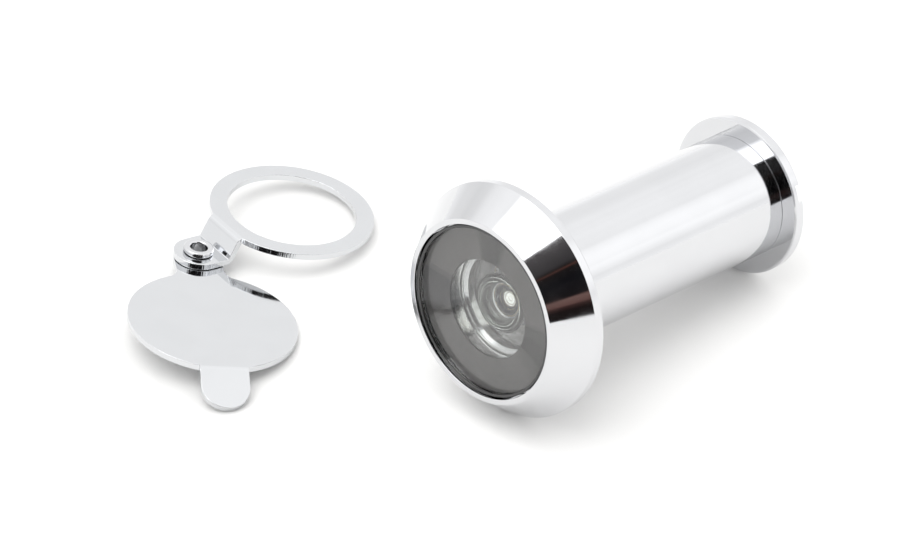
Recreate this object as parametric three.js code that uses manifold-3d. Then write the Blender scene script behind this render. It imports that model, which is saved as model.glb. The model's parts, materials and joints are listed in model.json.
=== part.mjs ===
// A door viewer: a chromed brass barrel that holds the lenses, the eyepiece sleeve that screws into
// it from the room side, and the loose swing cover that the sleeve clamps to the door.
// Millimetres, +Z up. The viewer lies on its two rims with its axis along +Y, head at -Y, and the
// cover lies beside it at -X with its door side up. The origin is under the middle of the whole.
import * as THREE from 'three';
import { mergeVertices } from 'three/addons/utils/BufferGeometryUtils.js';
import Module from 'manifold-3d';

const wasm = await Module();
wasm.setup();

// ---- Driving dimensions -------------------------------------------------------------------------
// Lengths along the viewer are measured from the head's front rim, towards the eyepiece.
const FIT = 0.1; // gap round a lens, a ring or a rivet

const HEAD = { rimIn: 9.9, rimOut: 10.5, radius: 13.33, coneEnd: 4.07, back: 5.19, bevel: 0.2 };
const RECESS_DEPTH = 1.9;
const BARREL = { radius: 7.0, bore: 6.15, end: 40.05 };

const SNAP_RING = { inner: 9.4, outer: 9.75, front: 0.2, back: 0.5 };
const WINDOW = { radius: 9.7, front: 0.6, back: 1.4 };
const MASK = { inner: 5.6, outer: 9.7, front: 1.5, back: 1.8 };

const LENS_RADIUS = BARREL.bore - FIT;
const OBJECTIVE = { front: 2.0, back: 5.2, bowl: 3.4, curve: 3.45 };
const FRONT_SPACER = { inner: 5.4, lip: 5.75, lipFront: 5.3, front: 5.7, back: 6.7 };
const SECOND_LENS = { front: 6.8, back: 9.6, bowl: 3.6, curve: 4.2 };
const REAR_SPACER = { inner: 4.9, front: 9.7, back: 10.7 };
const THIRD_LENS = { front: 10.8, back: 12.4, bowl: 4.4, curve: 9.0 };
const LOCK_RING = { inner: 4.7, front: 12.5, back: 13.5 };

const SLEEVE = { radius: 6.0, bore: 4.95, front: 14.2, flangeFront: 40.1, flangeBack: 41.47 };
const FLANGE_RADIUS = 9.03;
const EYE_OPENING = { radius: 4.1, lip: 0.6, bevel: 0.5 };
const COIN_SLOT = { width: 1.9, depth: 0.75, angle: 25 };
const EYE_LENS = { radius: 4.85, front: 37.7, rim: 1.5, bulge: 0.6 };
const EYE_RING = { inner: 4.6, length: 0.9, back: 37.4 };

const SHEET = 0.7; // thickness of the cover's sheet metal
const RING = { centre: 12.47, inner: 7.25, outer: 9.25, top: 3.2 }; // centre: distance from the rivet
const DISC = { centre: 12.75, radius: 9.4 };
const EAR = { radius: 2.7, fillet: 1.5 };
const EYE_TAB = { radius: 2.75, gap: 0.08 };
const JOGGLE = { low: 2.3, high: 3.52, end: 4.5 };
const FINGER_TAB = { width: 5.4, crease: 9.2, length: 5.0, bend: 25 };
const RIVET = { hole: 0.95, shank: 1.25, collar: 1.7, collarHeight: 0.55, foot: 0.3 };
const SWING = 117.65; // angle between the ring's side and the disc's side

// How the pieces lie on the table.
const COVER_PIVOT = [-40.9, -3.1, 1.74]; // the rivet, from the middle of the head's rim; z is on the table
const COVER_HEADING = 81.75; // direction from the rivet to the ring's centre
const COVER_LEAN = { angle: 10, heading: 69.4 }; // how far, and which way, the cover's plane leans

const FINE = 48; // segments round the large pieces
const PLAIN = 32; // segments round the small ones

// ---- Materials ----------------------------------------------------------------------------------
const chrome = (color = 0xd9dbde, roughness = 0.12) =>
  new THREE.MeshStandardMaterial({ color, roughness, metalness: 1 });
const blackened = () => new THREE.MeshStandardMaterial({ color: 0x2b2c2d, roughness: 0.55, metalness: 0.2 });
const brass = () => new THREE.MeshStandardMaterial({ color: 0xc9a558, roughness: 0.3, metalness: 1 });
const glass = () => new THREE.MeshStandardMaterial({
  color: 0xdfe8e3, roughness: 0.03, metalness: 0, transparent: true, opacity: 0.35,
});

// ---- Geometry helpers ---------------------------------------------------------------------------
const radians = THREE.MathUtils.degToRad;

// Keeps positions only, joins shared points and drops triangles that have no area.
function weld(geometry) {
  const bare = geometry.index ? geometry.toNonIndexed() : geometry.clone();
  bare.deleteAttribute('normal');
  bare.deleteAttribute('uv');
  const merged = mergeVertices(bare, 1e-4);
  const index = Array.from(merged.index.array);
  const kept = [];
  for (let i = 0; i < index.length; i += 3) {
    const [a, b, c] = index.slice(i, i + 3);
    if (a !== b && b !== c && c !== a) kept.push(a, b, c);
  }
  merged.setIndex(kept);
  return merged;
}

// Six times the signed volume: negative when the faces point inwards.
function signedVolume(geometry) {
  const place = geometry.attributes.position;
  const corners = [new THREE.Vector3(), new THREE.Vector3(), new THREE.Vector3()];
  let sum = 0;
  for (let i = 0; i < geometry.index.count; i += 3) {
    corners.forEach((corner, k) => corner.fromBufferAttribute(place, geometry.index.getX(i + k)));
    sum += corners[0].dot(corners[1].clone().cross(corners[2]));
  }
  return sum;
}

function closed(geometry) {
  const welded = weld(geometry);
  if (signedVolume(welded) < 0) {
    const flipped = Array.from(welded.index.array);
    for (let i = 0; i < flipped.length; i += 3) [flipped[i], flipped[i + 1]] = [flipped[i + 1], flipped[i]];
    welded.setIndex(flipped);
  }
  welded.computeVertexNormals();
  return welded;
}

function toManifold(geometry) {
  const solid = closed(geometry);
  const mesh = new wasm.Mesh({
    numProp: 3,
    vertProperties: new Float32Array(solid.attributes.position.array),
    triVerts: new Uint32Array(solid.index.array),
  });
  return new wasm.Manifold(mesh);
}

function fromManifold(solid) {
  const mesh = solid.getMesh();
  const geometry = new THREE.BufferGeometry();
  geometry.setAttribute('position', new THREE.BufferAttribute(mesh.vertProperties, 3));
  geometry.setIndex(new THREE.BufferAttribute(mesh.triVerts, 1));
  geometry.computeVertexNormals();
  return geometry;
}

// A turned piece: [radius, station] points round its section, in order. The section closes on itself
// unless both of its ends are on the axis.
function turned(section, segments = PLAIN) {
  const points = section.map(([radius, station]) => new THREE.Vector2(radius, station));
  const onAxis = section[0][0] === 0 && section[section.length - 1][0] === 0;
  if (!onAxis) points.push(points[0].clone());
  return closed(new THREE.LatheGeometry(points, segments));
}

function turnedRing(inner, outer, front, back, segments = PLAIN) {
  return turned([[inner, front], [outer, front], [outer, back], [inner, back]], segments);
}

// Points of a spherical surface of the given curve radius, from the axis out to the given radius.
// A positive direction bulges the apex towards smaller stations.
function dome(edgeStation, edgeRadius, curve, direction, steps = 6) {
  const edgeAngle = Math.asin(edgeRadius / curve);
  return Array.from({ length: steps + 1 }, (_, i) => {
    const angle = (edgeAngle * i) / steps;
    const rise = curve * (Math.cos(angle) - Math.cos(edgeAngle));
    return [curve * Math.sin(angle), edgeStation - direction * rise];
  });
}

// Flat in front and hollowed behind, as the lenses that widen the view are.
function hollowLens({ front, back, bowl, curve }) {
  return turned([[0, front], [LENS_RADIUS, front], [LENS_RADIUS, back], ...dome(back, bowl, curve, 1).reverse()]);
}

function plate(shape, bottom, top, curveSegments = 24) {
  const body = new THREE.ExtrudeGeometry(shape, { depth: top - bottom, bevelEnabled: false, curveSegments });
  return body.translate(0, 0, bottom);
}

function roundBar(radius, bottom, top, segments = PLAIN) {
  return new THREE.CylinderGeometry(radius, radius, top - bottom, segments)
    .rotateX(Math.PI / 2)
    .translate(0, 0, (top + bottom) / 2);
}

// ---- The viewer ---------------------------------------------------------------------------------
function outerBarrel() {
  return turned([
    [HEAD.rimIn, HEAD.bevel], [HEAD.rimIn + HEAD.bevel, 0], [HEAD.rimOut, 0],
    [HEAD.radius, HEAD.coneEnd], [HEAD.radius, HEAD.back], [BARREL.radius, HEAD.back],
    [BARREL.radius, BARREL.end], [BARREL.bore, BARREL.end],
    [BARREL.bore, RECESS_DEPTH], [HEAD.rimIn, RECESS_DEPTH],
  ], FINE);
}

function eyepieceSleeve() {
  const openingFront = SLEEVE.flangeBack - EYE_OPENING.lip - EYE_OPENING.bevel;
  const body = toManifold(turned([
    [SLEEVE.bore, SLEEVE.front], [SLEEVE.radius, SLEEVE.front], [SLEEVE.radius, SLEEVE.flangeFront],
    [FLANGE_RADIUS, SLEEVE.flangeFront], [FLANGE_RADIUS, SLEEVE.flangeBack],
    [EYE_OPENING.radius + EYE_OPENING.bevel, SLEEVE.flangeBack],
    [EYE_OPENING.radius, SLEEVE.flangeBack - EYE_OPENING.bevel],
    [EYE_OPENING.radius, openingFront], [SLEEVE.bore, openingFront],
  ], FINE));
  const slot = new THREE.BoxGeometry(3 * FLANGE_RADIUS, 2 * COIN_SLOT.depth, COIN_SLOT.width)
    .translate(0, SLEEVE.flangeBack, 0)
    .rotateY(-radians(COIN_SLOT.angle));
  return fromManifold(body.subtract(toManifold(slot)));
}

function eyeLens() {
  const curve = (EYE_LENS.radius ** 2 + EYE_LENS.bulge ** 2) / (2 * EYE_LENS.bulge);
  const rimBack = EYE_LENS.front + EYE_LENS.rim;
  return turned([
    ...dome(EYE_LENS.front, EYE_LENS.radius, curve, 1),
    ...dome(rimBack, EYE_LENS.radius, curve, -1).reverse(),
  ]);
}

// A ring with a thin lip in front, which the objective's back rests on.
function frontSpacer() {
  const { inner, lip, lipFront, front, back } = FRONT_SPACER;
  return turned([
    [inner, front], [lip, front], [lip, lipFront], [LENS_RADIUS, lipFront], [LENS_RADIUS, back], [inner, back],
  ]);
}

// ---- The swing cover, in its own frame: the rivet at the origin, the door side up ------------------
function coverRing() {
  const outline = new THREE.Shape().absarc(RING.centre, 0, RING.outer, 0, 2 * Math.PI);
  outline.holes.push(new THREE.Path().absarc(RING.centre, 0, RING.inner, 0, 2 * Math.PI, true));
  const ring = toManifold(plate(outline, RING.top - SHEET, RING.top));

  const eye = EYE_TAB.gap + SHEET;
  const eyePlate = toManifold(roundBar(EYE_TAB.radius, EYE_TAB.gap, eye));

  // The arm's side view, swept across its width: level, up the joggle, level again.
  const slope = Math.atan2(RING.top - eye, JOGGLE.high - JOGGLE.low);
  const shift = SHEET * Math.tan(slope / 2);
  const side = new THREE.Shape([
    [0, EYE_TAB.gap], [JOGGLE.low + shift, EYE_TAB.gap], [JOGGLE.high + shift, RING.top - SHEET],
    [JOGGLE.end, RING.top - SHEET], [JOGGLE.end, RING.top], [JOGGLE.high, RING.top], [JOGGLE.low, eye], [0, eye],
  ].map(([x, z]) => new THREE.Vector2(x, z)));
  const arm = toManifold(
    new THREE.ExtrudeGeometry(side, { depth: 2 * EYE_TAB.radius, bevelEnabled: false })
      .rotateX(Math.PI / 2)
      .translate(0, EYE_TAB.radius, 0),
  );
  const hole = toManifold(roundBar(RIVET.shank + FIT, -1, 2));
  return fromManifold(ring.add(eyePlate).add(arm).subtract(hole));
}

// The disc and its ear in one outline, with a fillet on each side of the neck.
function discOutline() {
  const reach = DISC.radius + EAR.fillet;
  const offset = EAR.radius + EAR.fillet;
  const along = DISC.centre - Math.sqrt(reach ** 2 - offset ** 2);
  const turn = Math.asin(offset / reach);
  return new THREE.Shape()
    .absarc(0, 0, EAR.radius, Math.PI / 2, 1.5 * Math.PI)
    .absarc(along, -offset, EAR.fillet, Math.PI / 2, turn, true)
    .absarc(DISC.centre, 0, DISC.radius, Math.PI + turn, 3 * Math.PI - turn)
    .absarc(along, offset, EAR.fillet, -turn, -Math.PI / 2, true);
}

function coverDisc() {
  const flat = toManifold(plate(discOutline(), -SHEET, 0));
  const half = FINGER_TAB.width / 2;
  const tongue = new THREE.Shape()
    .moveTo(0, -half)
    .lineTo(FINGER_TAB.length - half, -half)
    .absarc(FINGER_TAB.length - half, 0, half, -Math.PI / 2, Math.PI / 2)
    .lineTo(0, half);
  const tab = toManifold(
    plate(tongue, -SHEET, 0)
      .rotateY(radians(FINGER_TAB.bend))
      .translate(DISC.centre + FINGER_TAB.crease, 0, 0),
  );
  const hole = toManifold(roundBar(RIVET.shank + FIT, -2, 1));
  return fromManifold(flat.add(tab).subtract(hole));
}

// A hollow eyelet: a foot under the disc's ear, a shank through both ears and a rolled collar on top.
function coverRivet() {
  const underside = -SHEET - FIT;
  const collarBottom = EYE_TAB.gap + SHEET + FIT;
  const section = [
    [RIVET.hole, underside - RIVET.foot], [RIVET.collar, underside - RIVET.foot], [RIVET.collar, underside],
    [RIVET.shank, underside], [RIVET.shank, collarBottom], [RIVET.collar, collarBottom],
    [RIVET.collar, collarBottom + RIVET.collarHeight], [RIVET.hole, collarBottom + RIVET.collarHeight],
  ];
  return turned(section).rotateX(Math.PI / 2);
}

// ---- Assembly -----------------------------------------------------------------------------------
function piece(name, geometry, material) {
  const mesh = new THREE.Mesh(geometry, material);
  mesh.name = name;
  return mesh;
}

// Local +Y is the viewer's axis. Both rims touch the table, so the axis falls towards the eyepiece.
function viewer() {
  const fall = Math.atan2(HEAD.radius - FLANGE_RADIUS, SLEEVE.flangeBack - HEAD.back);
  const group = new THREE.Group();
  group.rotation.x = -fall;
  group.position.z = HEAD.radius * Math.cos(fall) + HEAD.back * Math.sin(fall);
  group.add(
    piece('outer_barrel', outerBarrel(), chrome()),
    piece('front_retaining_ring', turnedRing(SNAP_RING.inner, SNAP_RING.outer, SNAP_RING.front,
      SNAP_RING.back, FINE), chrome(0x6f7072, 0.3)),
    piece('front_window', turned([[0, WINDOW.front], [WINDOW.radius, WINDOW.front],
      [WINDOW.radius, WINDOW.back], [0, WINDOW.back]], FINE), glass()),
    piece('mask_ring', turnedRing(MASK.inner, MASK.outer, MASK.front, MASK.back, FINE), blackened()),
    piece('objective_lens', hollowLens(OBJECTIVE), glass()),
    piece('front_spacer_ring', frontSpacer(), chrome(0xb9bbbd, 0.2)),
    piece('second_lens', hollowLens(SECOND_LENS), glass()),
    piece('rear_spacer_ring', turnedRing(REAR_SPACER.inner, LENS_RADIUS, REAR_SPACER.front,
      REAR_SPACER.back), chrome(0xb9bbbd, 0.2)),
    piece('third_lens', hollowLens(THIRD_LENS), glass()),
    piece('lens_lock_ring', turnedRing(LOCK_RING.inner, LENS_RADIUS, LOCK_RING.front,
      LOCK_RING.back), brass()),
    piece('eyepiece_sleeve', eyepieceSleeve(), chrome()),
    piece('eyepiece_lens', eyeLens(), glass()),
    piece('eyepiece_retaining_ring', turnedRing(EYE_RING.inner, EYE_LENS.radius,
      EYE_RING.back - EYE_RING.length, EYE_RING.back), brass()),
  );
  return group;
}

// Three nested turns put the cover on the table: it is leant over, and then turned to its heading.
function swingCover() {
  const ringSide = new THREE.Group();
  ringSide.rotation.z = radians(COVER_HEADING - COVER_LEAN.heading);
  ringSide.add(piece('cover_ring', coverRing(), chrome()));

  const discSide = new THREE.Group();
  discSide.rotation.z = radians(COVER_HEADING - COVER_LEAN.heading - SWING);
  discSide.add(piece('cover_disc', coverDisc(), chrome()), piece('cover_rivet', coverRivet(), chrome()));

  const group = new THREE.Group();
  group.rotation.set(0, radians(COVER_LEAN.angle), radians(COVER_LEAN.heading), 'ZYX');
  group.position.set(...COVER_PIVOT);
  group.add(ringSide, discSide);
  return group;
}

const group = new THREE.Group();
group.add(viewer(), swingCover());
group.updateMatrixWorld(true);
const bounds = new THREE.Box3().setFromObject(group, true);
group.position.set(-(bounds.min.x + bounds.max.x) / 2, -(bounds.min.y + bounds.max.y) / 2, -bounds.min.z);
group.updateMatrixWorld(true);

export default group;
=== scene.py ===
"""A chromed door viewer and its loose swing cover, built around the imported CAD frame.

The round pieces are turned from sections in the viewer's own frame: local +Z is the viewer's axis,
from the head's front rim towards the eyepiece, and local +Y is up. The sheet-metal pieces are flat
outlines with rounded edges, bent in the cover's own frame: the rivet is at the origin and +Z is the
door side. Sections and outlines are in millimetres.
"""
import json
import math

import bmesh
import bpy
from mathutils import Matrix, Vector
from mathutils.geometry import tessellate_polygon


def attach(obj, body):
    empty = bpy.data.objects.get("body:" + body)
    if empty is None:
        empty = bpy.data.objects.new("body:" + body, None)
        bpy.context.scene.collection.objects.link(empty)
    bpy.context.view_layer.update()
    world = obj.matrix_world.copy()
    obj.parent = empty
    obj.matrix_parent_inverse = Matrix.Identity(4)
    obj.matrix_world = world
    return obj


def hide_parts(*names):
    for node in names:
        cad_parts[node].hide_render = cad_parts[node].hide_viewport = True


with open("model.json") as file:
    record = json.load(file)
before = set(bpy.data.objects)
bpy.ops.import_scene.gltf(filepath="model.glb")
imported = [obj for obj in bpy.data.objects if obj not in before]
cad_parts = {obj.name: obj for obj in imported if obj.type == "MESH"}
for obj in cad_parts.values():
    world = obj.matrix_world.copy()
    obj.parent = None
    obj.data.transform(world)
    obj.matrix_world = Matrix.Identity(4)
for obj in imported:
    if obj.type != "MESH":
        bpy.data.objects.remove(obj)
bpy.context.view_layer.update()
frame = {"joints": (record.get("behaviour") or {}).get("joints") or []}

MM = 0.001

# Two places this close, in millimetres, are the same. Edges sharper than the crease are left sharp.
NEAR = 1e-5
CREASE_DEGREES = 32

# How many facets go round the large turned pieces, the lenses and the sleeve, and the rivet.
SEGMENTS = 256
SMALL_SEGMENTS = 160
RIVET_SEGMENTS = 128

# ---- Sizes, in millimetres, and angles in degrees ----------------------------------------------
HEAD = dict(rim_in=9.9, rim_out=10.5, radius=13.33, cone_end=4.07, back=5.19)
RECESS_DEPTH = 1.9
BARREL = dict(radius=7.0, bore=6.15, end=40.08)
SNAP_RING = dict(inner=9.4, outer=9.75, front=0.2, back=0.5)
WINDOW = dict(radius=9.7, front=0.6, back=1.4)
MASK = dict(inner=5.6, outer=9.7, front=1.5, back=1.8)
LENS_RADIUS = 6.05
OBJECTIVE = dict(front=2.0, back=5.2, bowl=3.4, curve=3.45)
GROUND_FROM = 5.9
FRONT_SPACER = dict(inner=5.4, lip=5.75, lip_front=5.3, front=5.7, back=6.7)
SECOND_LENS = dict(front=6.8, back=9.6, bowl=3.6, curve=4.2)
REAR_SPACER = dict(inner=4.9, front=9.7, back=10.7)
THIRD_LENS = dict(front=10.8, back=12.4, bowl=4.4, curve=9.0)
LOCK_RING = dict(inner=4.7, front=12.5, back=13.5)
SLEEVE = dict(radius=6.0, bore=4.95, front=14.2, flange_front=40.1, flange_back=41.47)
FLANGE_RADIUS = 9.03
FLANGE_EASE = dict(width=0.22, depth=0.08)
EYE_OPENING = dict(radius=4.1, lip=0.6, bevel=0.5)
COIN_SLOT = dict(width=1.9, depth=0.75, angle=155)
EYE_LENS = dict(radius=4.85, front=37.7, rim=1.5, bulge=0.6)
EYE_RING = dict(inner=4.6, front=36.5, back=37.4)
THREAD = dict(pitch=1.0, depth=0.45, start=14.6, end=38.4, fade=0.8, points_per_turn=10)

# GUARD is the width of the narrow strips beside a rounding, which keep shading off the flat parts.
SHEET = 0.7
SHEET_EDGE = 0.05
GUARD = 0.03
RING = dict(centre=12.47, inner=7.25, outer=9.25, top=3.2)
DISC = dict(centre=12.75, radius=9.4)
EAR = dict(radius=2.7, fillet=1.5)
EYE_TAB = dict(radius=2.75, gap=0.08)
JOGGLE = dict(low=2.4, high=3.42, bend=0.5, slices=24)
FINGER_TAB = dict(width=5.4, crease=9.2, length=5.0, bend=25, round=0.9, slices=8)
RIVET = dict(hole=0.95, shank=1.25, collar=1.7, collar_height=0.55, foot=0.3, fit=0.1)

# Headings from +X towards +Y, of the ring's arm and of the way that the cover leans. SWING is how far
# the disc is turned from the ring.
COVER_HEADING = 81.75
COVER_LEAN_HEADING = 69.4
SWING = 117.65


# ---- Places, from the frame --------------------------------------------------------------------
def joint(name):
    return next(j for j in frame["joints"] if j["name"] == name)


def place(origin, z_axis, x_hint):
    """The matrix of a local frame with the given origin, +Z along z_axis and +X nearest to x_hint."""
    z = Vector(z_axis).normalized()
    x = Vector(x_hint)
    x = (x - z * x.dot(z)).normalized()
    y = z.cross(x)
    return Matrix.Translation(Vector(origin)) @ Matrix((x, y, z)).transposed().to_4x4()


turn = joint("sleeve_turn")
VIEWER = place(turn["pos_m"], turn["axis"], (-1, 0, 0))

swivel = joint("cover_swivel")
lean = math.radians(COVER_LEAN_HEADING)
LEANT = place(swivel["pos_m"], swivel["axis"], (math.cos(lean), math.sin(lean), 0))
RING_SIDE = LEANT @ Matrix.Rotation(math.radians(COVER_HEADING - COVER_LEAN_HEADING), 4, "Z")
DISC_SIDE = RING_SIDE @ Matrix.Rotation(math.radians(-SWING), 4, "Z")


# ---- Mesh helpers ------------------------------------------------------------------------------
def shade(mesh):
    """Smooth shading, with the creases left sharp."""
    mesh.shade_smooth()
    mesh.set_sharp_from_angle(angle=math.radians(CREASE_DEGREES))


def add_object(name, bm, matrix, materials, body, replaced):
    """Makes a piece from a bmesh in millimetres, places it, and ties it to the frame."""
    bmesh.ops.recalc_face_normals(bm, faces=bm.faces)
    mesh = bpy.data.meshes.new(name)
    bm.to_mesh(mesh)
    bm.free()
    mesh.transform(Matrix.Scale(MM, 4))
    for each in materials:
        mesh.materials.append(each)
    shade(mesh)
    piece = bpy.data.objects.new(name, mesh)
    bpy.context.scene.collection.objects.link(piece)
    piece.matrix_world = matrix
    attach(piece, body)
    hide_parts(replaced)
    return piece


def arc(centre, radius, start, end, steps):
    """Points on an arc, angles in degrees, both ends included."""
    angles = [math.radians(start + (end - start) * i / steps) for i in range(steps + 1)]
    return [(centre[0] + radius * math.cos(a), centre[1] + radius * math.sin(a)) for a in angles]


def rounded(corners, closed=True, steps=5):
    """Rounds each corner (r, s, fillet radius) of a section with an arc. A zero radius stays sharp.
    A guard point just beyond each end of an arc keeps the smooth shading off the straight part."""
    points = []
    count = len(corners)
    for i, (r, s, fillet) in enumerate(corners):
        at_end = not closed and i in (0, count - 1)
        if fillet <= 0 or at_end:
            points.append((r, s))
            continue
        here = Vector((r, s))
        to_last = (Vector(corners[i - 1][:2]) - here).normalized()
        to_next = (Vector(corners[(i + 1) % count][:2]) - here).normalized()
        half = to_last.angle(to_next) / 2
        tangent = fillet / math.tan(half)
        centre = here + (to_last + to_next).normalized() * (fillet / math.sin(half))
        first = here + to_last * tangent - centre
        last = here + to_next * tangent - centre
        sweep = first.angle_signed(last)
        points.append(tuple(here + to_last * (tangent + GUARD)))
        for k in range(steps + 1):
            turned = Vector(first)
            turned.rotate(Matrix.Rotation(-sweep * k / steps, 2))
            points.append(tuple(centre + turned))
        points.append(tuple(here + to_next * (tangent + GUARD)))
    return points


def turned_mesh(section, segments, closed=True):
    """A surface of revolution about local Z from (radius, station) points."""
    bm = bmesh.new()
    rings = []
    for radius, station in section:
        if radius < NEAR:
            rings.append([bm.verts.new((0, 0, station))])
            continue
        rings.append([
            bm.verts.new((radius * math.cos(a), radius * math.sin(a), station))
            for a in (2 * math.pi * k / segments for k in range(segments))
        ])
    pairs = list(zip(rings, rings[1:]))
    if closed:
        pairs.append((rings[-1], rings[0]))
    for low, high in pairs:
        for k in range(segments):
            corners = [low[k % len(low)], low[(k + 1) % len(low)]]
            corners += [high[(k + 1) % len(high)], high[k % len(high)]]
            distinct = list(dict.fromkeys(corners))
            if len(distinct) > 2:
                bm.faces.new(distinct)
    return bm


def ring_section(inner, outer, front, back, edge=0.08):
    """The section of a plain ring with all four edges rounded."""
    places = [(inner, front), (outer, front), (outer, back), (inner, back)]
    return rounded([(r, s, edge) for r, s in places])


def dome(edge_station, edge_radius, curve, direction, steps=24):
    """Points of a spherical surface, from the axis out to its edge."""
    edge_angle = math.asin(edge_radius / curve)
    points = []
    for i in range(steps + 1):
        angle = edge_angle * i / steps
        rise = curve * (math.cos(angle) - math.cos(edge_angle))
        points.append((curve * math.sin(angle), edge_station - direction * rise))
    return points


# ---- Materials ---------------------------------------------------------------------------------
def new_material(name):
    """A material with its node tree and its shader."""
    material = bpy.data.materials.new(name)
    material.use_nodes = True
    tree = material.node_tree
    return material, tree, tree.nodes["Principled BSDF"]


def link(tree, source, output, target, socket):
    tree.links.new(source.outputs[output], target.inputs[socket])


def noise(tree, scale, detail, stretch=(1, 1, 1)):
    """Noise in the piece's own coordinates, stretched along an axis by a number below 1."""
    coordinates = tree.nodes.new("ShaderNodeTexCoord")
    mapping = tree.nodes.new("ShaderNodeMapping")
    mapping.inputs["Scale"].default_value = stretch
    texture = tree.nodes.new("ShaderNodeTexNoise")
    texture.inputs["Scale"].default_value = scale
    texture.inputs["Detail"].default_value = detail
    link(tree, coordinates, "Object", mapping, "Vector")
    link(tree, mapping, "Vector", texture, "Vector")
    return texture


def ramp(tree, source, output, low, high, low_value, high_value):
    """Maps a range of values to another, clamped at both ends."""
    node = tree.nodes.new("ShaderNodeMapRange")
    node.inputs["From Min"].default_value = low
    node.inputs["From Max"].default_value = high
    node.inputs["To Min"].default_value = low_value
    node.inputs["To Max"].default_value = high_value
    link(tree, source, output, node, "Value")
    return node


def mix_colours(tree, source, output, low_colour, high_colour):
    """Mixes two colours by a value from 0 to 1."""
    node = tree.nodes.new("ShaderNodeMix")
    node.data_type = "RGBA"
    node.inputs["A"].default_value = (*low_colour, 1)
    node.inputs["B"].default_value = (*high_colour, 1)
    link(tree, source, output, node, "Factor")
    return node


def arithmetic(tree, operation, first, first_output, second, second_output):
    """Adds or multiplies two values."""
    node = tree.nodes.new("ShaderNodeMath")
    node.operation = operation
    link(tree, first, first_output, node, 0)
    link(tree, second, second_output, node, 1)
    return node


def component(tree, source, output, direction):
    """How far a vector reaches along a direction, as a dot product."""
    node = tree.nodes.new("ShaderNodeVectorMath")
    node.operation = "DOT_PRODUCT"
    node.inputs[1].default_value = direction
    link(tree, source, output, node, "Vector")
    return node


def set_stops(node, stops):
    """Sets the stops of a colour ramp from (position, colour) pairs in order."""
    elements = node.color_ramp.elements
    elements.remove(elements[0])
    for i, (position, colour) in enumerate(stops):
        element = elements[0] if i == 0 else elements.new(position)
        element.position = position
        element.color = (*colour, 1)


def bump(tree, shader, source, output, strength, distance):
    """Fine relief in a material, its distance in metres."""
    node = tree.nodes.new("ShaderNodeBump")
    node.inputs["Strength"].default_value = strength
    node.inputs["Distance"].default_value = distance
    link(tree, source, output, node, "Height")
    link(tree, node, "Normal", shader, "Normal")


def plated(name, tint, dull, bright, streak):
    """Chrome plate: clean and mirror-like, a little softer in patches, with fine polishing streaks.
    dull and bright are how rough the two kinds of patch are, and streak is how its noise is stretched."""
    material, tree, shader = new_material(name)
    shader.inputs["Metallic"].default_value = 1.0
    patches = noise(tree, scale=220, detail=3)
    streaks = noise(tree, scale=900, detail=2, stretch=streak)
    dimmed = [channel * 0.985 for channel in tint]
    colour = mix_colours(tree, ramp(tree, patches, "Fac", 0.4, 0.6, 0, 1), "Result", dimmed, tint)
    link(tree, colour, "Result", shader, "Base Color")
    base = ramp(tree, patches, "Fac", 0.35, 0.65, bright, dull)
    change = ramp(tree, streaks, "Fac", 0.3, 0.7, 0.8, 1.2)
    roughness = arithmetic(tree, "MULTIPLY", base, "Result", change, "Result")
    link(tree, roughness, "Value", shader, "Roughness")
    bump(tree, shader, patches, "Fac", strength=0.02, distance=0.0002)
    return material


def sheared(name, tint):
    """The plated cut edge of pressed sheet, scored straight through its thickness by the punch."""
    material, tree, shader = new_material(name)
    shader.inputs["Metallic"].default_value = 1.0
    shader.inputs["Base Color"].default_value = (*tint, 1)
    patches = noise(tree, scale=350, detail=2, stretch=(1, 1, 0.05))
    scores = noise(tree, scale=5200, detail=2, stretch=(1, 1, 0.02))
    link(tree, ramp(tree, scores, "Fac", 0.3, 0.7, 0.03, 0.06), "Result", shader, "Roughness")
    strength = ramp(tree, patches, "Fac", 0.42, 0.56, 0.0, 1.0)
    depth = arithmetic(tree, "MULTIPLY", strength, "Result", scores, "Fac")
    bump(tree, shader, depth, "Value", strength=1.0, distance=0.00008)
    return material


# Painted reflections: how bright the blackened metal's colour is painted, by the turn about its
# axis from 0 to 1. The two darker sectors are painted reflections.
PAINTED_REFLECTION_SECTORS = [
    (0.0, 0.35), (0.03, 0.12), (0.055, 0.15), (0.065, 0.6), (0.11, 1.0), (0.7, 1.0),
    (0.715, 0.3), (0.765, 0.1), (0.785, 0.95), (0.97, 1.0), (0.985, 0.4),
]


def black_with_painted_reflections(name, low_colour, high_colour, roughness):
    """Blackened metal with fine grain, turned on a lathe, with painted reflections: its colour is painted
    darker in two sectors.
    """
    material, tree, shader = new_material(name)
    grain = noise(tree, scale=5000, detail=2)
    by_grain = ramp(tree, grain, "Fac", 0.35, 0.65, 0, 1)
    colour = mix_colours(tree, by_grain, "Result", low_colour, high_colour)
    coordinates = tree.nodes.new("ShaderNodeTexCoord")
    bearing = tree.nodes.new("ShaderNodeTexGradient")
    bearing.gradient_type = "RADIAL"
    sectors = tree.nodes.new("ShaderNodeValToRGB")
    link(tree, coordinates, "Object", bearing, "Vector")
    link(tree, bearing, "Fac", sectors, "Fac")
    set_stops(sectors, [(position, [brightness] * 3) for position, brightness in PAINTED_REFLECTION_SECTORS])
    # Painted reflections: the colour is multiplied darker in sectors round the axis.
    shaded = tree.nodes.new("ShaderNodeMix")
    shaded.data_type = "RGBA"
    shaded.blend_type = "MULTIPLY"
    shaded.inputs["Factor"].default_value = 1.0
    link(tree, colour, "Result", shaded, "A")
    link(tree, sectors, "Color", shaded, "B")
    link(tree, shaded, "Result", shader, "Base Color")
    varied = ramp(tree, grain, "Fac", 0.3, 0.7, roughness * 0.9, roughness * 1.1)
    link(tree, varied, "Result", shader, "Roughness")
    bump(tree, shader, grain, "Fac", strength=0.1, distance=0.00002)
    return material


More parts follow.
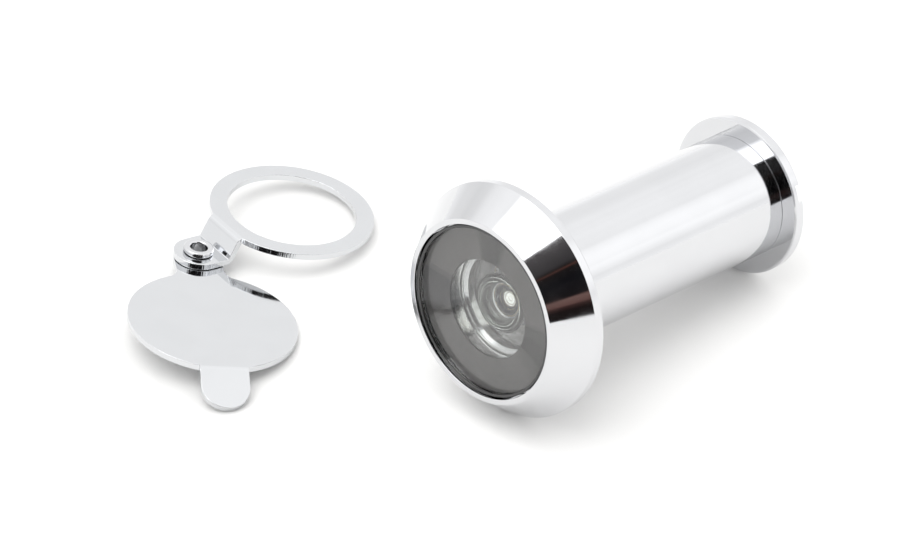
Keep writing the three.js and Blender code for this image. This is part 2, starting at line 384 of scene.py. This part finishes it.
def bare_brass(name):
    """Unplated brass with the marks of turning round it."""
    material, tree, shader = new_material(name)
    shader.inputs["Metallic"].default_value = 1.0
    turning = noise(tree, scale=700, detail=2, stretch=(0.3, 0.3, 6))
    by_turning = ramp(tree, turning, "Fac", 0.3, 0.7, 0, 1)
    colour = mix_colours(tree, by_turning, "Result", (0.60, 0.43, 0.18), (0.78, 0.60, 0.30))
    link(tree, colour, "Result", shader, "Base Color")
    link(tree, ramp(tree, turning, "Fac", 0.3, 0.7, 0.18, 0.34), "Result", shader, "Roughness")
    bump(tree, shader, turning, "Fac", strength=0.15, distance=0.00003)
    return material


GLASS_IOR = 1.52
GROUND = dict(through=0.95, low=(0.42, 0.49, 0.42), high=(0.70, 0.77, 0.69), rough=0.2, smooth=0.14)


def ground_glass(name):
    """Glass left matt from grinding, with the fine rings of the wheel."""
    material, tree, shader = new_material(name)
    shader.inputs["Transmission Weight"].default_value = GROUND["through"]
    shader.inputs["IOR"].default_value = GLASS_IOR
    coordinates = tree.nodes.new("ShaderNodeTexCoord")
    rings = tree.nodes.new("ShaderNodeTexWave")
    rings.wave_type = "RINGS"
    rings.rings_direction = "Z"
    rings.inputs["Scale"].default_value = 800
    rings.inputs["Distortion"].default_value = 1.5
    rings.inputs["Detail Scale"].default_value = 1.5
    link(tree, coordinates, "Object", rings, "Vector")
    colour = mix_colours(tree, rings, "Fac", GROUND["low"], GROUND["high"])
    link(tree, colour, "Result", shader, "Base Color")
    roughness = ramp(tree, rings, "Fac", 0, 1, GROUND["rough"], GROUND["smooth"])
    link(tree, roughness, "Result", shader, "Roughness")
    return material


def optical_glass(name, clear, tinted):
    """Clear glass, faintly tinted in patches, with barely visible surface haze."""
    material, tree, shader = new_material(name)
    shader.inputs["Transmission Weight"].default_value = 1.0
    shader.inputs["IOR"].default_value = GLASS_IOR
    haze = noise(tree, scale=600, detail=4)
    colour = mix_colours(tree, ramp(tree, haze, "Fac", 0.4, 0.6, 0, 1), "Result", tinted, clear)
    link(tree, colour, "Result", shader, "Base Color")
    link(tree, ramp(tree, haze, "Fac", 0.45, 0.75, 0.0, 0.02), "Result", shader, "Roughness")
    return material


CHROME_BODY = plated("chrome_body", (0.68, 0.685, 0.70), 0.10, 0.05, (1, 1, 0.15))
SHEET_TINT = (0.67, 0.68, 0.695)
CHROME_SHEET = plated("chrome_sheet", SHEET_TINT, 0.09, 0.045, (0.15, 1, 1))
BRIGHT_BORE = plated("bright_bore", (0.94, 0.94, 0.93), 0.10, 0.05, (1, 1, 0.15))
SHEARED_EDGE = sheared("sheared_edge", SHEET_TINT)
CHROME_RIVET = plated("chrome_rivet", (0.67, 0.675, 0.69), 0.10, 0.06, (1, 1, 0.3))
DARK_CHROME = plated("dark_chrome", (0.10, 0.10, 0.10), 0.40, 0.30, (1, 1, 1))
SPACER_METAL = plated("spacer_metal", (0.80, 0.81, 0.82), 0.22, 0.14, (0.2, 0.2, 4))
# Blackened metal for the mask, with painted reflections in two sectors of its colour.
BLACKENED_PAINTED_REFLECTIONS = black_with_painted_reflections("blackened_metal", (0.115, 0.112, 0.110), (0.135, 0.131, 0.129), 0.5)
BRASS = bare_brass("bare_brass")
LENS_GLASS = optical_glass("lens_glass", (0.985, 0.995, 0.985), (0.97, 0.985, 0.97))
GROUND_GLASS = ground_glass("ground_glass")
WINDOW_GLASS = optical_glass("window_glass", (0.995, 0.993, 0.99), (0.985, 0.983, 0.98))


# ---- The viewer --------------------------------------------------------------------------------
def make_turned(name, section, material, body, segments=SMALL_SEGMENTS, closed=True):
    """A piece of the viewer in one material, turned from its section."""
    bm = turned_mesh(section, segments, closed)
    add_object(name + "_fine", bm, VIEWER, [material], body, name)


def make_barrel():
    section = rounded([
        (HEAD["rim_in"], 0.0, 0.04), (HEAD["rim_out"], 0.0, 0.08),
        (HEAD["radius"], HEAD["cone_end"], 0.15), (HEAD["radius"], HEAD["back"], 0.2),
        (BARREL["radius"], HEAD["back"], 0.1), (BARREL["radius"], BARREL["end"], 0.06),
        (BARREL["bore"], BARREL["end"], 0.12), (BARREL["bore"], RECESS_DEPTH, 0.05),
        (HEAD["rim_in"], RECESS_DEPTH, 0.05),
    ])
    make_turned("outer_barrel", section, CHROME_BODY, "viewer_barrel", SEGMENTS)


def make_snap_ring():
    section = ring_section(
        SNAP_RING["inner"], SNAP_RING["outer"], SNAP_RING["front"], SNAP_RING["back"], 0.12
    )
    make_turned("front_retaining_ring", section, DARK_CHROME, "viewer_barrel", SEGMENTS)


def make_mask():
    section = ring_section(MASK["inner"], MASK["outer"], MASK["front"], MASK["back"], 0.05)
    make_turned("mask_ring", section, BLACKENED_PAINTED_REFLECTIONS, "viewer_barrel", SEGMENTS)


def make_window():
    section = rounded([
        (0, WINDOW["front"], 0), (WINDOW["radius"], WINDOW["front"], 0.12),
        (WINDOW["radius"], WINDOW["back"], 0.12), (0, WINDOW["back"], 0),
    ], closed=False)
    make_turned(
        "front_window", section, WINDOW_GLASS, "viewer_barrel", SEGMENTS, closed=False
    )


def lens_section(lens):
    """The section of a lens that is flat in front and hollowed behind."""
    rim = rounded([
        (0, lens["front"], 0), (LENS_RADIUS, lens["front"], 0.15),
        (LENS_RADIUS, lens["back"], 0.1), (lens["bowl"], lens["back"], 0),
    ], closed=False)
    bowl = dome(lens["back"], lens["bowl"], lens["curve"], 1)
    return rim + bowl[-2::-1]


def make_inner_lens(name, lens):
    make_turned(name, lens_section(lens), LENS_GLASS, "viewer_barrel", closed=False)


def make_objective():
    """The first lens, with its rim left ground."""
    bm = turned_mesh(lens_section(OBJECTIVE), SMALL_SEGMENTS, closed=False)
    for face in bm.faces:
        middle = face.calc_center_median()
        face.material_index = int(math.hypot(middle.x, middle.y) > GROUND_FROM)
    materials = [LENS_GLASS, GROUND_GLASS]
    add_object(
        "objective_lens_fine", bm, VIEWER, materials, "viewer_barrel", "objective_lens"
    )


def make_front_spacer():
    """A ring with a thin lip in front, which stands just behind the objective's rim."""
    inner, lip = FRONT_SPACER["inner"], FRONT_SPACER["lip"]
    front, back = FRONT_SPACER["front"], FRONT_SPACER["back"]
    section = rounded([
        (inner, front, 0.08), (lip, front, 0), (lip, FRONT_SPACER["lip_front"], 0.05),
        (LENS_RADIUS, FRONT_SPACER["lip_front"], 0.05), (LENS_RADIUS, back, 0.08), (inner, back, 0.08),
    ])
    make_turned("front_spacer_ring", section, SPACER_METAL, "viewer_barrel")


def make_rear_spacer():
    section = ring_section(REAR_SPACER["inner"], LENS_RADIUS, REAR_SPACER["front"], REAR_SPACER["back"])
    make_turned("rear_spacer_ring", section, SPACER_METAL, "viewer_barrel")


def make_lock_ring():
    section = ring_section(LOCK_RING["inner"], LENS_RADIUS, LOCK_RING["front"], LOCK_RING["back"])
    make_turned("lens_lock_ring", section, BRASS, "viewer_barrel")


def thread_depth(station, angle):
    """How far the sleeve's thread is cut in at a place on its tube, in millimetres: a flat-bottomed
    groove with sloping sides, which fades out at both ends of the thread."""
    start, end = THREAD["start"], THREAD["end"]
    if station < start or station > end:
        return 0.0
    phase = ((station - start) / THREAD["pitch"] - angle / (2 * math.pi)) % 1.0
    from_middle = abs(phase * 2 - 1)
    groove = min(1.0, max(0.0, 1.5 - from_middle * 2))
    fade = min(1.0, (station - start) / THREAD["fade"], (end - station) / THREAD["fade"])
    return THREAD["depth"] * groove * fade


def sleeve_section(opening_front):
    """The tube from the flange's inside to its front end and back along the thread, and the flange."""
    before = rounded([
        (SLEEVE["bore"], opening_front, 0), (SLEEVE["bore"], SLEEVE["front"], 0.15),
        (SLEEVE["radius"], SLEEVE["front"], 0.2), (SLEEVE["radius"], THREAD["start"], 0),
    ], closed=False)
    length = THREAD["end"] - THREAD["start"]
    steps = int(length / THREAD["pitch"] * THREAD["points_per_turn"])
    thread = [(SLEEVE["radius"], THREAD["start"] + length * i / steps) for i in range(1, steps + 1)]
    after = rounded([
        (SLEEVE["radius"], THREAD["end"], 0), (SLEEVE["radius"], SLEEVE["flange_front"], 0.1),
        (FLANGE_RADIUS - FLANGE_EASE["width"], SLEEVE["flange_front"], 0.03),
        (FLANGE_RADIUS, SLEEVE["flange_front"] + FLANGE_EASE["depth"], 0.03),
        (FLANGE_RADIUS, SLEEVE["flange_back"], 0.3),
        (EYE_OPENING["radius"] + EYE_OPENING["bevel"], SLEEVE["flange_back"], 0.1),
        (EYE_OPENING["radius"], SLEEVE["flange_back"] - EYE_OPENING["bevel"], 0.1),
        (EYE_OPENING["radius"], opening_front, 0.05), (SLEEVE["bore"], opening_front, 0),
    ], closed=False)
    return before + thread + after[1:-1]


def make_sleeve():
    """The sleeve with its thread cut in, bright inside and plated outside."""
    opening_front = SLEEVE["flange_back"] - EYE_OPENING["lip"] - EYE_OPENING["bevel"]
    bm = turned_mesh(sleeve_section(opening_front), SMALL_SEGMENTS)
    for vert in bm.verts:
        radius = math.hypot(vert.co.x, vert.co.y)
        if abs(radius - SLEEVE["radius"]) < NEAR:
            cut = thread_depth(vert.co.z, math.atan2(vert.co.y, vert.co.x))
            vert.co.x *= 1 - cut / radius
            vert.co.y *= 1 - cut / radius
    for face in bm.faces:
        middle = face.calc_center_median()
        on_bore = math.hypot(middle.x, middle.y) < SLEEVE["bore"] + NEAR and middle.z < opening_front
        face.material_index = int(on_bore)
    materials = [CHROME_BODY, BRIGHT_BORE]
    sleeve = add_object(
        "eyepiece_sleeve_fine", bm, VIEWER, materials, "sleeve", "eyepiece_sleeve"
    )
    cut_slot(sleeve)


def cut_slot(sleeve):
    """Cuts the coin slot across the flange's back with a boolean, and applies it."""
    cutter_mesh = bpy.data.meshes.new("slot_cutter")
    bm = bmesh.new()
    size = Matrix.Diagonal((4 * FLANGE_RADIUS, COIN_SLOT["width"], 2 * COIN_SLOT["depth"], 1))
    at = Matrix.Translation((0, 0, SLEEVE["flange_back"]))
    spin = Matrix.Rotation(math.radians(COIN_SLOT["angle"]), 4, "Z")
    bmesh.ops.create_cube(bm, size=1, matrix=Matrix.Scale(MM, 4) @ at @ spin @ size)
    bm.to_mesh(cutter_mesh)
    bm.free()
    cutter = bpy.data.objects.new("slot_cutter", cutter_mesh)
    bpy.context.scene.collection.objects.link(cutter)
    cutter.matrix_world = VIEWER
    modifier = sleeve.modifiers.new("slot", "BOOLEAN")
    modifier.operation = "DIFFERENCE"
    modifier.object = cutter
    modifier.solver = "EXACT"
    bpy.context.view_layer.update()
    graph = bpy.context.evaluated_depsgraph_get()
    result = bpy.data.meshes.new_from_object(sleeve.evaluated_get(graph))
    sleeve.modifiers.clear()
    sleeve.data = result
    shade(sleeve.data)
    bpy.data.objects.remove(cutter)


def make_eye_lens():
    """The lens that the eye looks into, bulging on both sides."""
    curve = (EYE_LENS["radius"] ** 2 + EYE_LENS["bulge"] ** 2) / (2 * EYE_LENS["bulge"])
    front = dome(EYE_LENS["front"], EYE_LENS["radius"], curve, 1)
    back = dome(EYE_LENS["front"] + EYE_LENS["rim"], EYE_LENS["radius"], curve, -1)
    section = front + back[::-1]
    make_turned("eyepiece_lens", section, LENS_GLASS, "eyepiece_lens_set", closed=False)


def make_eye_ring():
    section = ring_section(EYE_RING["inner"], EYE_LENS["radius"], EYE_RING["front"], EYE_RING["back"])
    make_turned("eyepiece_retaining_ring", section, BRASS, "eyepiece_lens_set")


# ---- The swing cover ---------------------------------------------------------------------------
SHEET_MATERIALS = [CHROME_SHEET, SHEARED_EDGE]
FLAT = 0
SHEARED = 1

# How many steps the arcs of the outlines have: round the large circles, the holes and small ends.
CIRCLE_STEPS = 240
HOLE_STEPS = 64
END_STEPS = 48
FILLET_STEPS = 16


def inset(outline, amount):
    """Moves each point of a closed outline sideways, into the material: left of its direction."""
    moved = []
    count = len(outline)
    for i, point in enumerate(outline):
        along = Vector(outline[(i + 1) % count]) - Vector(outline[i - 1])
        side = Vector((-along.y, along.x)).normalized()
        moved.append(tuple(Vector(point) + side * amount))
    return moved


def sheet_mesh(outlines, bottom, steps=3):
    """Flat sheet with slightly rounded edges. The first outline runs anticlockwise, and any holes
    clockwise. A narrow guard strip beside each rounding keeps the broad faces' shading truly flat."""
    bm = bmesh.new()
    top = bottom + SHEET
    levels = [(SHEET_EDGE + GUARD, bottom)]
    for i in range(steps + 1):
        angle = math.pi / 2 * i / steps
        levels.append((SHEET_EDGE * (1 - math.sin(angle)), bottom + SHEET_EDGE * (1 - math.cos(angle))))
    levels.append((0, bottom + SHEET_EDGE + GUARD))
    levels += [(amount, bottom + top - z) for amount, z in reversed(levels)]
    caps = {0: [], len(levels) - 1: []}
    for outline in outlines:
        loops = [
            [bm.verts.new((x, y, z)) for x, y in inset(outline, amount)] for amount, z in levels
        ]
        for level, (low, high) in enumerate(zip(loops, loops[1:])):
            for k in range(len(outline)):
                following = (k + 1) % len(outline)
                face = bm.faces.new((low[k], low[following], high[following], high[k]))
                face.material_index = SHEARED if 0 < level < len(loops) - 2 else FLAT
        for level, cap in caps.items():
            cap.append(loops[level])
    for cap in caps.values():
        flat = [vert for loop in cap for vert in loop]
        for triangle in tessellate_polygon([[vert.co for vert in loop] for loop in cap]):
            bm.faces.new([flat[k] for k in triangle])
    return bm


def slice_across(bm, start, end, count):
    """Adds edges across the sheet at even steps of x, so that it can bend there, and a guard strip
    at either side."""
    steps = [start + (end - start) * i / count for i in range(count + 1)]
    for x in [start - GUARD, *steps, end + GUARD]:
        geometry = bm.verts[:] + bm.edges[:] + bm.faces[:]
        bmesh.ops.bisect_plane(bm, geom=geometry, plane_co=(x, 0, 0), plane_no=(1, 0, 0), dist=NEAR)


def bend_sheet(bm, middle, bends):
    """Bends flat sheet about lines across x. bends holds (x where it starts, angle, radius) in order;
    the radius is the middle plane's, and a positive angle turns the sheet up."""
    for vert in bm.verts:
        x, offset = vert.co.x, vert.co.z - middle
        at, height, angle, done = 0.0, middle, 0.0, 0.0
        for start, sweep, radius in bends:
            if x <= start:
                break
            run = start - done
            at, height = at + run * math.cos(angle), height + run * math.sin(angle)
            length = abs(sweep) * radius
            part = min(1.0, (x - start) / length)
            sign = math.copysign(1, sweep)
            swept = angle + sweep * part
            at += radius * sign * (math.sin(swept) - math.sin(angle))
            height -= radius * sign * (math.cos(swept) - math.cos(angle))
            angle, done = swept, start + length * part
        run = x - done
        at, height = at + run * math.cos(angle), height + run * math.sin(angle)
        vert.co.x = at - offset * math.sin(angle)
        vert.co.z = height + offset * math.cos(angle)


def circular_hole(centre, radius, steps):
    """A clockwise circle, for a hole in sheet."""
    return arc(centre, radius, 360, 0, steps)[:-1]


def make_cover_ring():
    """The eye round the rivet, a joggled arm and the ring. The sheet is laid out flat, with the ring's
    centre further out by the length that the joggle takes up, and then bent."""
    rise = RING["top"] - SHEET - EYE_TAB["gap"]
    run = JOGGLE["high"] - JOGGLE["low"]
    slope = math.atan2(rise, run)
    corner = JOGGLE["bend"] * math.tan(slope / 2)
    bend_length = JOGGLE["bend"] * slope
    first = JOGGLE["low"] - corner
    second = first + bend_length + math.hypot(rise, run) - 2 * corner
    extra = second + bend_length - (JOGGLE["high"] + corner)
    centre = (RING["centre"] + extra, 0)
    half = EYE_TAB["radius"]
    meet = math.degrees(math.asin(half / RING["outer"]))
    outer = arc((0, 0), half, 90, 270, END_STEPS)
    outer += arc(centre, RING["outer"], 180 + meet, 540 - meet, CIRCLE_STEPS)
    ring_hole = circular_hole(centre, RING["inner"], CIRCLE_STEPS)
    rivet_hole = circular_hole((0, 0), RIVET["shank"] + RIVET["fit"], HOLE_STEPS)
    bm = sheet_mesh([outer, ring_hole, rivet_hole], EYE_TAB["gap"])
    slice_across(bm, first, second + bend_length, JOGGLE["slices"])
    middle = EYE_TAB["gap"] + SHEET / 2
    bend_sheet(bm, middle, [(first, slope, JOGGLE["bend"]), (second, -slope, JOGGLE["bend"])])
    add_object(
        "cover_ring_fine", bm, RING_SIDE, SHEET_MATERIALS, "cover_bracket", "cover_ring"
    )


def make_cover_disc():
    """The ear round the rivet, filleted into the disc, and a finger tab bent down."""
    reach = DISC["radius"] + EAR["fillet"]
    offset = EAR["radius"] + EAR["fillet"]
    along = DISC["centre"] - math.sqrt(reach**2 - offset**2)
    turn_angle = math.degrees(math.asin(offset / reach))
    half = FINGER_TAB["width"] / 2
    tab_angle = math.degrees(math.asin(half / DISC["radius"]))
    tip = DISC["centre"] + FINGER_TAB["crease"] + FINGER_TAB["length"] - half
    centre = (DISC["centre"], 0)
    outer = arc((0, 0), EAR["radius"], 90, 270, END_STEPS)
    outer += arc((along, -offset), EAR["fillet"], 90, turn_angle, FILLET_STEPS)
    outer += arc(centre, DISC["radius"], 180 + turn_angle, 360 - tab_angle, CIRCLE_STEPS // 2)[1:]
    outer += arc((tip, 0), half, -90, 90, END_STEPS)
    outer += arc(centre, DISC["radius"], tab_angle, 180 - turn_angle, CIRCLE_STEPS // 2)
    outer += arc((along, offset), EAR["fillet"], -turn_angle, -90, FILLET_STEPS)[1:]
    rivet_hole = circular_hole((0, 0), RIVET["shank"] + RIVET["fit"], HOLE_STEPS)
    bm = sheet_mesh([outer, rivet_hole], -SHEET)
    bend = math.radians(FINGER_TAB["bend"])
    start = DISC["centre"] + FINGER_TAB["crease"] - FINGER_TAB["round"] * math.tan(bend / 2)
    slice_across(bm, start, start + FINGER_TAB["round"] * bend, FINGER_TAB["slices"])
    bend_sheet(bm, -SHEET / 2, [(start, -bend, FINGER_TAB["round"])])
    add_object(
        "cover_disc_fine", bm, DISC_SIDE, SHEET_MATERIALS, "cover_flap", "cover_disc"
    )


def make_rivet():
    """A hollow shank with a rolled collar above and a foot below."""
    underside = -SHEET - RIVET["fit"]
    bottom = underside - RIVET["foot"]
    collar = EYE_TAB["gap"] + SHEET + RIVET["fit"]
    top = collar + RIVET["collar_height"]
    section = rounded([
        (RIVET["hole"], bottom, 0.12), (RIVET["collar"], bottom, 0.12),
        (RIVET["collar"], underside, 0.05), (RIVET["shank"], underside, 0.03),
        (RIVET["shank"], collar, 0.03), (RIVET["collar"], collar, 0.1),
        (RIVET["collar"], top, 0.2), (RIVET["hole"], top, 0.2),
    ])
    bm = turned_mesh(section, RIVET_SEGMENTS)
    add_object(
        "cover_rivet_fine", bm, DISC_SIDE, [CHROME_RIVET], "cover_flap", "cover_rivet"
    )


# ---- Studio ------------------------------------------------------------------------------------
# The tent's brightness, by the sine of the height above the floor. A colour ramp holds it as a share
# of TENT_SCALE, and FOLDS is how far the cloth's folds change it either way.
TENT = [(0.0, 1.25), (0.21, 1.15), (0.37, 1.09), (0.5, 1.15), (0.6, 1.22), (0.8, 1.24), (0.95, 1.28)]
TENT_SCALE = 2
FOLDS = 0.05

# Soft areas of the tent: the bearing and height of the middle, the angles from it at which the area
# begins and is full, and the brightness that it adds.
SOFT_LIGHTS = [
    dict(bearing=(-10, 70), outer=29, inner=20, extra=1.8),
    dict(bearing=(142, 25), outer=20, inner=8, extra=0.28),
    dict(bearing=(-93, 18), outer=22, inner=8, extra=-0.12),
]

# The dark room's card: its corners are across and up from the camera's direction, in units of the
# distance. Its bands are colours by height along a slanted line, and it is dimmer on one side.
ROOM_DISTANCE = 0.6
ROOM_OPENING = [
    (-0.60, -0.62), (0.70, -0.62), (0.66, 0.32), (0.04, 0.56), (-0.10, 0.52), (-0.31, 0.42), (-0.60, 0.25),
]
ROOM_BANDS = [
    (-0.56, (0.012, 0.008, 0.008)), (-0.49, (0.05, 0.024, 0.022)), (-0.46, (0.16, 0.085, 0.075)),
    (-0.37, (0.21, 0.125, 0.11)), (-0.345, (0.012, 0.010, 0.011)), (-0.1, (0.006, 0.006, 0.008)),
    (0.04, (0.012, 0.010, 0.010)), (0.06, (0.11, 0.045, 0.035)), (0.08, (0.014, 0.012, 0.012)),
    (0.13, (0.05, 0.046, 0.048)), (0.4, (0.085, 0.078, 0.08)),
]
ROOM_SLANT = (-0.5, 0.86, 0)
ROOM_ALONG = (0.86, 0.5, 0)

# The aim is in millimetres from the viewer's joint, and the distance in metres.
CAMERA = dict(
    aim=(-20.2693, 15.7085, -13.8482), azimuth=45.05, elevation=36.02, distance=0.8386, lens=303.9
)
FLOOR = dict(half_size=4, drop=0.00003, colour=(0.85, 0.847, 0.838))


def from_bearing(azimuth, elevation):
    a = math.radians(azimuth)
    e = math.radians(elevation)
    return Vector((math.sin(a) * math.cos(e), -math.cos(a) * math.cos(e), math.sin(e)))


def make_camera():
    data = bpy.data.cameras.new("camera")
    data.sensor_width = 36
    data.lens = CAMERA["lens"]
    data.clip_start = 0.05
    data.clip_end = 20
    camera = bpy.data.objects.new("camera", data)
    bpy.context.scene.collection.objects.link(camera)
    back = from_bearing(CAMERA["azimuth"], CAMERA["elevation"])
    target = Vector(turn["pos_m"]) + Vector(CAMERA["aim"]) * MM
    camera.location = target + back * CAMERA["distance"]
    camera.rotation_mode = "QUATERNION"
    camera.rotation_quaternion = (-back).to_track_quat("-Z", "Y")
    bpy.context.scene.camera = camera


def make_floor():
    """White paper, a hair below the lowest points so that no two faces coincide."""
    bm = bmesh.new()
    bmesh.ops.create_grid(bm, x_segments=1, y_segments=1, size=FLOOR["half_size"])
    mesh = bpy.data.meshes.new("floor")
    bm.to_mesh(mesh)
    bm.free()
    material, _, shader = new_material("floor_paper")
    shader.inputs["Base Color"].default_value = (*FLOOR["colour"], 1)
    shader.inputs["Roughness"].default_value = 0.8
    shader.inputs["Specular IOR Level"].default_value = 0.2
    mesh.materials.append(material)
    floor = bpy.data.objects.new("floor", mesh)
    bpy.context.scene.collection.objects.link(floor)
    floor.location.z = -FLOOR["drop"]


def room_material():
    """Dark bands of colour that glow by themselves, so that the tent doesn't light them."""
    material = bpy.data.materials.new("dark_room")
    material.use_nodes = True
    tree = material.node_tree
    tree.nodes.clear()
    coordinates = tree.nodes.new("ShaderNodeTexCoord")
    bands = tree.nodes.new("ShaderNodeValToRGB")
    emission = tree.nodes.new("ShaderNodeEmission")
    output = tree.nodes.new("ShaderNodeOutputMaterial")
    slant = component(tree, coordinates, "Object", ROOM_SLANT)
    link(tree, ramp(tree, slant, "Value", -1, 1, 0, 1), "Result", bands, "Fac")
    link(tree, bands, "Color", emission, "Color")
    along = component(tree, coordinates, "Object", ROOM_ALONG)
    link(tree, ramp(tree, along, "Value", 0.03, 0.075, 0.12, 1), "Result", emission, "Strength")
    link(tree, emission, "Emission", output, "Surface")
    set_stops(bands, [((height + 1) / 2, colour) for height, colour in ROOM_BANDS])
    return material


def make_dark_room():
    """The dark room behind the camera, with a few brown things in it: a flat card square to the
    camera's direction, seen only in reflections."""
    back = from_bearing(CAMERA["azimuth"], CAMERA["elevation"])
    across = Vector((0, 0, 1)).cross(back).normalized()
    mesh = bpy.data.meshes.new("dark_room")
    mesh.from_pydata([(x, y, 0) for x, y in ROOM_OPENING], [], [range(len(ROOM_OPENING))])
    mesh.materials.append(room_material())
    card = bpy.data.objects.new("dark_room", mesh)
    bpy.context.scene.collection.objects.link(card)
    card.matrix_world = place(back * ROOM_DISTANCE, back, across) @ Matrix.Scale(ROOM_DISTANCE, 4)
    card.visible_camera = False
    card.visible_shadow = False
    card.visible_diffuse = False


def make_world():
    """A white tent with soft folds, a large soft light over the camera's side, a weak one behind and
    a duller patch at the left."""
    world = bpy.data.worlds.new("tent")
    bpy.context.scene.world = world
    world.use_nodes = True
    tree = world.node_tree
    background = tree.nodes["Background"]
    background.inputs["Color"].default_value = (1, 1, 1, 1)
    coordinates = tree.nodes.new("ShaderNodeTexCoord")
    axes = tree.nodes.new("ShaderNodeSeparateXYZ")
    levels = tree.nodes.new("ShaderNodeValToRGB")
    link(tree, coordinates, "Generated", axes, "Vector")
    link(tree, axes, "Z", levels, "Fac")
    set_stops(levels, [(height, [brightness / TENT_SCALE] * 3) for height, brightness in TENT])
    folds = noise(tree, scale=3.2, detail=3)
    cloth = ramp(tree, folds, "Fac", 0.3, 0.7, TENT_SCALE * (1 - FOLDS), TENT_SCALE * (1 + FOLDS))
    total = arithmetic(tree, "MULTIPLY", levels, "Color", cloth, "Result")
    for light in SOFT_LIGHTS:
        towards = component(tree, coordinates, "Generated", from_bearing(*light["bearing"]))
        outer, inner = (math.cos(math.radians(angle)) for angle in (light["outer"], light["inner"]))
        extra = ramp(tree, towards, "Value", outer, inner, 0, light["extra"])
        total = arithmetic(tree, "ADD", total, "Value", extra, "Result")
    link(tree, total, "Value", background, "Strength")


def make_studio():
    make_world()
    make_floor()
    make_dark_room()
    bpy.context.scene.view_settings.view_transform = "Standard"


make_camera()
make_barrel()
make_snap_ring()
make_mask()
make_window()
make_objective()
make_inner_lens("second_lens", SECOND_LENS)
make_inner_lens("third_lens", THIRD_LENS)
make_front_spacer()
make_rear_spacer()
make_lock_ring()
make_sleeve()
make_eye_lens()
make_eye_ring()
make_cover_ring()
make_cover_disc()
make_rivet()
make_studio()
